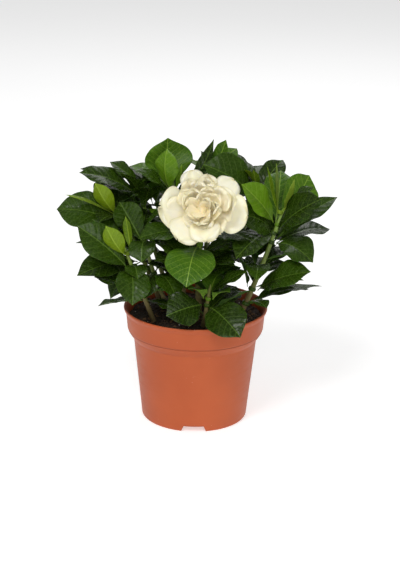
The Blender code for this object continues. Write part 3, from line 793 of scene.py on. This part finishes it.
# %% Petals round the flower's axis
facing = unit(sum(blade["face"] for blade in petals.values()))
across_axis = unit(np.cross(facing, (0, 0, 1)))
up_axis = np.cross(across_axis, facing)
HEART_PETALS = [
    (270, 34, 17, 17, 0.3, 0), (347, 53, 34, 27, 0.5, -15), (305, 44, 22, 18, 0.4, 0),
    (225, 52, 28, 21, 0.4, -10), (252, 40, 23, 18, 0.3, 12), (98, 50, 29, 19, 0.3, 15),
    (58, 48, 28, 19, 0.3, -15), (150, 46, 29, 24, 0.4, 10), (120, 42, 27, 18, 0.35, 20),
    (78, 40, 27, 17, 0.35, -20), (30, 42, 25, 18, 0.35, -20), (105, 34, 23, 14, 0.35, 30),
    (145, 36, 23, 16, 0.4, 25), (60, 34, 22, 15, 0.35, -30), (190, 38, 22, 17, 0.4, 15),
    (90, 26, 19, 12, 0.35, 40), (160, 28, 18, 13, 0.4, 35), (30, 28, 18, 13, 0.4, -35),
    (230, 32, 17, 14, 0.4, 20), (330, 30, 17, 14, 0.4, -10), (280, 26, 15, 12, 0.4, 0),
    (120, 12, 15, 9, 0.45, 60)]
FIRST_LIFT, LIFT_STEP, ROOT_SPREAD = 3, 0.55, 6
for number, (turn, tilt, length, width, cup, twist) in enumerate(HEART_PETALS):
    turn, tilt, twist = radians(turn), radians(tilt), radians(twist)
    outward = across_axis * cos(turn) + up_axis * sin(turn)
    way = facing * cos(tilt) + outward * sin(tilt)
    root = heart + facing * (FIRST_LIFT + LIFT_STEP * number) + outward * ROOT_SPREAD * sin(tilt)
    inward = unit(facing * sin(tilt) - outward * cos(tilt))
    inward = inward * cos(twist) + np.cross(way, inward) * sin(twist)
    tip = root + way * length
    blade = {"curve": np.array([root, root * 0.5 + tip * 0.5 - inward * 0.12 * length, tip]),
             "face": inward, "width": width}
    grow_petal("bloom_fold_%d" % (number + 1), blade, cup, (),
                       min(1.0, number / 11))
print("folded petals:", len(HEART_PETALS))

# %% The rolled core
# The last three petals never open: they are wound round each other like a furled umbrella.
CORE_RINGS, CORE_SIDES, CORE_TURNS = 40, 90, 3
share = np.linspace(0, 1, CORE_RINGS)
turn = np.linspace(0, 2 * pi, CORE_SIDES, endpoint=False)
bulge = np.interp(share, (0, 0.35, 0.7, 0.9, 1), (4.5, 6.8, 6.0, 3.6, 1.2))
wound = (CORE_TURNS * turn[None] / (2 * pi) + 1.1 * share[:, None]) % 1
wound = wound ** 0.6 * np.clip((1 - wound) / 0.12, 0, 1)
radius = bulge[:, None] * (0.72 + 0.4 * wound)
leaning = heart + np.outer(3 + 13 * share, facing) + np.outer(2.0 * share ** 2, across_axis * -1)
points, faces = tube(leaning, radius, CORE_SIDES)
core = piece("bloom_core", points, faces, petal_skin, {
    "across": (1 - wound).ravel() * 0.8, "along": np.repeat(0.2 + 0.6 * share, CORE_SIDES),
    "depth": np.full(len(points), 1.0), "leaf_place": points})
print("core height %.0f" % np.linalg.norm(leaning[-1] - leaning[0]))

# %% [markdown]
# ## Calyx
# Under the petals the flower's stalk widens into a ribbed green cup. A plain cone would
# look turned on a lathe, so the tube's radius flares with height and swells at each rib.


# %% A ribbed cup
def calyx_finish():
    cup = Finish("ribbed_green_calyx")
    speck = cup.noise(cup.place(), 900, 3)
    colour = cup.ramp(speck, (0.3, (0.11, 0.24, 0.03)), (0.7, (0.2, 0.36, 0.06)))
    return cup.wear(Base_Color=colour, Roughness=cup.between(speck, 0.3, 0.7, 0.42, 0.6),
                    Normal=cup.bump(speck, 0.1, 0.5))


CUP_RINGS, CUP_SIDES, CUP_RIBS = 14, 36, 6
low, high = stem_end, heart
share = np.linspace(0.08, 1.0, CUP_RINGS)
turn = np.linspace(0, 2 * pi, CUP_SIDES, endpoint=False)
flare = np.interp(share, (0, 0.2, 0.4, 1.0), (2.4, 2.8, 3.6, 5.0))
ribs = 1 + 0.05 * np.cos(CUP_RIBS * turn)
points, faces = tube(low + np.outer(share, high - low), flare[:, None] * ribs[None], CUP_SIDES)
piece("calyx_cup", points, faces, calyx_finish(), None, None, ("calyx",))
print("calyx height %.1f" % np.linalg.norm(high - low))

# %% [markdown]
# ## The pot
# It's a thin injection-moulded plastic pot: satin terracotta colour, a shouldered band, a
# rolled lip, a raised floor with drain holes and three notches in its foot. A tapered
# cylinder would have no lip or band, so a whole profile is turned, with many sides so that
# no facet shows. The holes are cut with a Boolean, because they cross that round profile.

# %% Profile of the pot
POT_HEIGHT = 104.0
BASE_RADIUS = 48.0
WALL = 1.4
POT_SIDES = 160
GROOVE_HEIGHT = 82.9
FLOOR = 6.0


def turned(profile, sides):
    """Points and faces of a profile turned round the pot's axis."""
    profile = np.array(profile, dtype=float)
    turn = np.linspace(0, 2 * pi, sides, endpoint=False)
    ring = np.stack([np.cos(turn), np.sin(turn), np.zeros(sides)], axis=1)
    points = profile[:, 0, None, None] * ring[None] + np.array([0, 0, 1]) * profile[:, 1, None, None]
    faces = []
    for row in range(len(profile) - 1):
        for k in range(sides):
            a, b = row * sides + k, row * sides + (k + 1) % sides
            faces.append((a, b, b + sides, a + sides))
    faces.append(tuple(range(sides))[::-1])
    faces.append(tuple(range((len(profile) - 1) * sides, len(profile) * sides)))
    return points.reshape(-1, 3), faces


def rounded(corners, radius=0.8, steps=4):
    """The same outline with its inner corners rounded off."""
    corners = [np.array(c, dtype=float) for c in corners]
    line = [corners[0]]
    for before, corner, after in zip(corners, corners[1:], corners[2:]):
        reach = min(radius, np.linalg.norm(before - corner) / 2.2, np.linalg.norm(after - corner) / 2.2)
        a = corner + unit(before - corner) * reach
        b = corner + unit(after - corner) * reach
        for s in np.linspace(0, 1, steps):
            line.append(a * (1 - s) ** 2 + corner * 2 * s * (1 - s) + b * s * s)
    return line + [corners[-1]]


pot_line = rounded([
    (0.5, FLOOR), (44.8, FLOOR), (45.6, 0), (47.0, 0), (BASE_RADIUS, 1.2), (48.7, 8.0),
    (49.1, 12.0), (52.1, 40.0), (55.8, 75.0), (58.6, 78.6), (60.9, 82.4), (60.7, 83.1),
    (61.5, 83.9), (62.8, 98.5), (64.7, 101.6), (65.0, 103.0), (64.5, POT_HEIGHT),
    (63.1, 103.6), (60.9, 99.0), (60.0, 84.5), (54.4, 76.0), (50.3, 40.0), (47.1, 12.0),
    (46.6, FLOOR + WALL), (0.5, FLOOR + WALL)])
pot_points, pot_faces = turned(pot_line, POT_SIDES)


# %% Pot finish
def pot_finish():
    pot = Finish("terracotta_plastic")
    where = pot.place()
    cloud = pot.noise(where, 14, 3)
    grain = pot.noise(where, 2600, 2)
    squeezed = pot.node("Mapping", {"Vector": where, "Scale": (1, 1, 6)}).outputs["Vector"]
    scuff = pot.noise(squeezed, 60, 4, 0.7)
    speck = pot.noise(where, 420, 2)
    colour = pot.blend(pot.between(cloud, 0.3, 0.7), (0.4, 0.079, 0.022), (0.46, 0.096, 0.028))
    colour = pot.blend(pot.between(scuff, 0.6, 0.8, 0, 0.14), colour, (0.62, 0.24, 0.12))
    colour = pot.blend(pot.between(speck, 0.74, 0.8, 0, 0.5), colour, (0.7, 0.4, 0.25))
    rough = pot.between(scuff, 0.4, 0.8, 0.46, 0.6)
    height = pot.node("SeparateXYZ", {"Vector": where}).outputs["Z"]
    # Painted shade: a thin dark line along the groove under the band, where shade gathers in the crease.
    groove_shade_distance = pot.maths("ABSOLUTE", pot.maths("SUBTRACT", height, GROOVE_HEIGHT * MM))
    colour = pot.blend(pot.between(groove_shade_distance, 0.1 * MM, 0.9 * MM, 0.55, 0), colour, (0.16, 0.03, 0.012))
    normal = pot.bump(grain, 0.05, 0.35)
    return pot.wear(Base_Color=colour, Roughness=rough, Normal=normal, Specular_IOR_Level=0.28,
                    Subsurface_Weight=0.08, Subsurface_Radius=(1.0, 0.35, 0.15),
                    Subsurface_Scale=1.5 * MM)


pot = piece("nursery_pot", pot_points, pot_faces, pot_finish(), None, None, ("pot",), 35)

# %% Cutting the drain holes and the foot notches
DRAIN_COUNT, DRAIN_RING, DRAIN_RADIUS, NOTCH_COUNT = 8, 31, 4.0, 3
cut = Heap()
for k in range(DRAIN_COUNT):
    turn = radians(360 / DRAIN_COUNT * (k + 0.5))
    hole = np.array([DRAIN_RING * cos(turn), DRAIN_RING * sin(turn), 0])
    cut.add(*tube(hole + np.outer((1.0, 13.0), (0, 0, 1)), (DRAIN_RADIUS, DRAIN_RADIUS), 40))
for k in range(NOTCH_COUNT):
    turn = Matrix.Rotation(radians(360 / NOTCH_COUNT * k), 3, "Z")
    corners = [(x, -y, z) for y in (36, 54) for x, z in ((-11.7, -1), (11.7, -1), (9, 5.5), (-9, 5.5))]
    cut.add(np.array([turn @ Vector(c) for c in corners]),
            [(0, 1, 2, 3), (7, 6, 5, 4), (0, 4, 5, 1), (1, 5, 6, 2), (2, 6, 7, 3), (3, 7, 4, 0)])
cutter_mesh = bpy.data.meshes.new("pot_cutter")
cutter_mesh.from_pydata((np.concatenate(cut.points) * MM).tolist(), [], cut.faces)
outward = bmesh.new()
outward.from_mesh(cutter_mesh)
bmesh.ops.recalc_face_normals(outward, faces=outward.faces)
outward.to_mesh(cutter_mesh)
outward.free()
cutter = bpy.data.objects.new("pot_cutter", cutter_mesh)
bpy.context.scene.collection.objects.link(cutter)
saw = pot.modifiers.new("holes", "BOOLEAN")
saw.operation, saw.solver, saw.object = "DIFFERENCE", "EXACT", cutter
depsgraph = bpy.context.evaluated_depsgraph_get()
cut_mesh = bpy.data.meshes.new_from_object(pot.evaluated_get(depsgraph))
pot.modifiers.clear()
pot.data = cut_mesh
bpy.data.objects.remove(cutter)
print("pot faces:", len(pot.data.polygons))

# %% [markdown]
# ## Soil
# Nursery peat is nearly black and crumbly, with bark bits and pale specks of perlite. A
# flat disc with a bump map reads as paint, so the surface is pushed up and down, and
# covered with loose crumbs.


# %% Peat finish
def peat_finish(name, dark, light, scale):
    peat = Finish(name)
    where = peat.place()
    crumbs = peat.noise(where, scale, 5, 0.7)
    fine = peat.noise(where, scale * 4, 3, 0.6)
    colour = peat.blend(peat.between(crumbs, 0.35, 0.75), dark, light)
    normal = peat.bump(crumbs, 0.9, 0.8, peat.bump(fine, 0.3, 0.7))
    return peat.wear(Base_Color=colour, Roughness=peat.between(fine, 0.3, 0.7, 0.78, 0.95),
                     Normal=normal)


MOUND, EDGE = 3.5, 59.6


def soil_height(x, y):
    share = np.minimum(1.0, np.hypot(x, y) / EDGE)
    return SOIL_TOP + MOUND * (1 - share ** 2)


def rough_ground(x, y):
    """Height of the crumbly surface over a place."""
    hills = 0.8 * np.sin(0.31 * x + 0.4) * np.cos(0.27 * y - 0.6) + 0.5 * np.sin(0.83 * x - 0.71 * y)
    lumps = 0.35 * np.sin(1.9 * x + 0.7 * y) * np.sin(1.6 * y - 1.1 * x + 0.5)
    return soil_height(x, y) + hills + lumps - 0.4


radii = np.linspace(59.5, 0.4, 70)
soil_line = [(0.5, 7.9), (46.0, 7.9), (54.0, 76.6), (59.5, 85.0)] + [(r, SOIL_TOP) for r in radii]
soil_points, soil_faces = turned(soil_line, POT_SIDES)
surface = soil_points[:, 2] > SOIL_TOP - 1
soil_points[surface, 2] = rough_ground(soil_points[surface, 0], soil_points[surface, 1])
piece("peat_ball", soil_points, soil_faces,
      peat_finish("dark_peat", (0.008, 0.004, 0.002), (0.07, 0.036, 0.018), 700), None, None, ("soil",))


# %% Crumbs, bark bits and perlite
PEBBLE_RINGS, PEBBLE_CORNERS = 4, 6
LOOSE_REACH = 58.0
CRUMBS, BARK_BITS, PERLITE = 900, 170, 46


def pebble(centre, size, squash=0.7):
    """A lumpy little stone: rings of uneven corners, stacked like a squashed ball."""
    rows = []
    for ring in range(1, PEBBLE_RINGS + 1):
        tilt = pi * ring / (PEBBLE_RINGS + 1)
        for k in range(PEBBLE_CORNERS):
            turn = 2 * pi * k / PEBBLE_CORNERS + ring * 0.4
            rows.append((sin(tilt) * cos(turn), sin(tilt) * sin(turn), cos(tilt) * squash))
    rows = np.array(rows) * size * chance.uniform(0.72, 1.2, (len(rows), 1))
    spin = Matrix.Rotation(chance.uniform(0, 6.28), 3, "Z")
    spin = spin @ Matrix.Rotation(chance.uniform(-0.6, 0.6), 3, "X")
    points = rows @ np.array(spin).T + centre
    faces = []
    for ring in range(PEBBLE_RINGS - 1):
        for k in range(PEBBLE_CORNERS):
            a = ring * PEBBLE_CORNERS + k
            b = ring * PEBBLE_CORNERS + (k + 1) % PEBBLE_CORNERS
            faces.append((a, b, b + PEBBLE_CORNERS, a + PEBBLE_CORNERS)[::-1])
    faces.append(tuple(range(PEBBLE_CORNERS)))
    faces.append(tuple(range(len(rows) - PEBBLE_CORNERS, len(rows)))[::-1])
    return points, faces


def scatter(heap, count, sizes, squash, sink=0.2):
    for _ in range(count):
        reach = LOOSE_REACH * chance.uniform(0, 1) ** 0.5
        turn = chance.uniform(0, 2 * pi)
        x, y = reach * cos(turn), reach * sin(turn)
        size = chance.uniform(*sizes)
        heap.add(*pebble(np.array((x, y, rough_ground(x, y) + size * sink)), size, squash))


crumbs, bark_bits, perlite = Heap(), Heap(), Heap()
scatter(crumbs, CRUMBS, (0.5, 1.9), 0.75)
scatter(bark_bits, BARK_BITS, (0.9, 2.2), 0.4, 0.5)
scatter(perlite, PERLITE, (0.3, 0.8), 0.8, 0.7)
loose = {
    "peat_crumbs": (crumbs, peat_finish("loose_peat", (0.012, 0.006, 0.003), (0.1, 0.052, 0.025), 900)),
    "bark_bits": (bark_bits, peat_finish("bark_chip", (0.05, 0.022, 0.008), (0.24, 0.13, 0.05), 500)),
    "perlite": (perlite, peat_finish("perlite_grain", (0.5, 0.47, 0.4), (0.8, 0.78, 0.7), 900)),
}
for name, (heap, finish) in loose.items():
    heap.build(name, finish)
print("crumbs:", CRUMBS, "bark:", BARK_BITS, "perlite:", PERLITE)

# %% [markdown]
# ## Floor, light and camera
# A pale seamless floor and large soft lights show gloss on the leaves without hard shadows.
# One small lamp would be simpler, but the shadows that it casts have hard edges.

# %% Floor
floor_finish = Finish("pale_floor")
paper = floor_finish.noise(floor_finish.place(), 3, 2)
floor_finish.wear(Base_Color=floor_finish.blend(paper, (0.78, 0.78, 0.78), (0.8, 0.8, 0.8)), Roughness=0.9,
                  Emission_Color=(1, 1, 1), Emission_Strength=0.5, Specular_IOR_Level=0.2)
floor_mesh = bpy.data.meshes.new("floor")
floor_mesh.from_pydata([(-6, -6, 0), (6, -6, 0), (6, 6, 0), (-6, 6, 0)], [], [(0, 1, 2, 3)])
floor_mesh.materials.append(floor_finish.material)
floor = bpy.data.objects.new("floor", floor_mesh)
bpy.context.scene.collection.objects.link(floor)

# %% World and lights
world = bpy.data.worlds.new("soft_white_room")
world.use_nodes = True
sky = world.node_tree.nodes["Background"]
sky.inputs["Color"].default_value = (1, 1, 1, 1)
sky.inputs["Strength"].default_value = 0.29
bpy.context.scene.world = world


def soft_light(name, place, size, power, aim=(0, 0, 0.15)):
    lamp = bpy.data.lights.new(name, "AREA")
    lamp.size = size
    lamp.energy = power
    holder = bpy.data.objects.new(name, lamp)
    holder.location = place
    way = Vector(aim) - Vector(place)
    holder.rotation_euler = way.to_track_quat("-Z", "Y").to_euler()
    bpy.context.scene.collection.objects.link(holder)


soft_light("key", (-0.6, -1.3, 1.7), 0.7, 20)
soft_light("fill", (0.4, -1.8, 0.9), 1.0, 12)
soft_light("back", (0.3, 1.4, 1.5), 1.0, 9)

# %% Camera
elevation, roll, distance = radians(18.67), radians(0.94), 1.352
aim = Vector((3.69, 0, 123.26)) * MM
back = Vector((0, -cos(elevation), sin(elevation)))
right = Vector((1, 0, 0))
up = back.cross(right)
tilted = Matrix((right * cos(roll) + up * sin(roll), up * cos(roll) - right * sin(roll), back))
camera_data = bpy.data.cameras.new("camera")
camera_data.lens = 94.79
camera_data.sensor_width = 36
camera_data.sensor_fit = "AUTO"
camera = bpy.data.objects.new("camera", camera_data)
camera.matrix_world = Matrix.Translation(aim + back * distance) @ tilted.transposed().to_4x4()
bpy.context.scene.collection.objects.link(camera)
bpy.context.scene.camera = camera
bpy.context.scene.view_settings.view_transform = "Standard"

# %% Sizes, and the end
print("CAD box", cad_box)
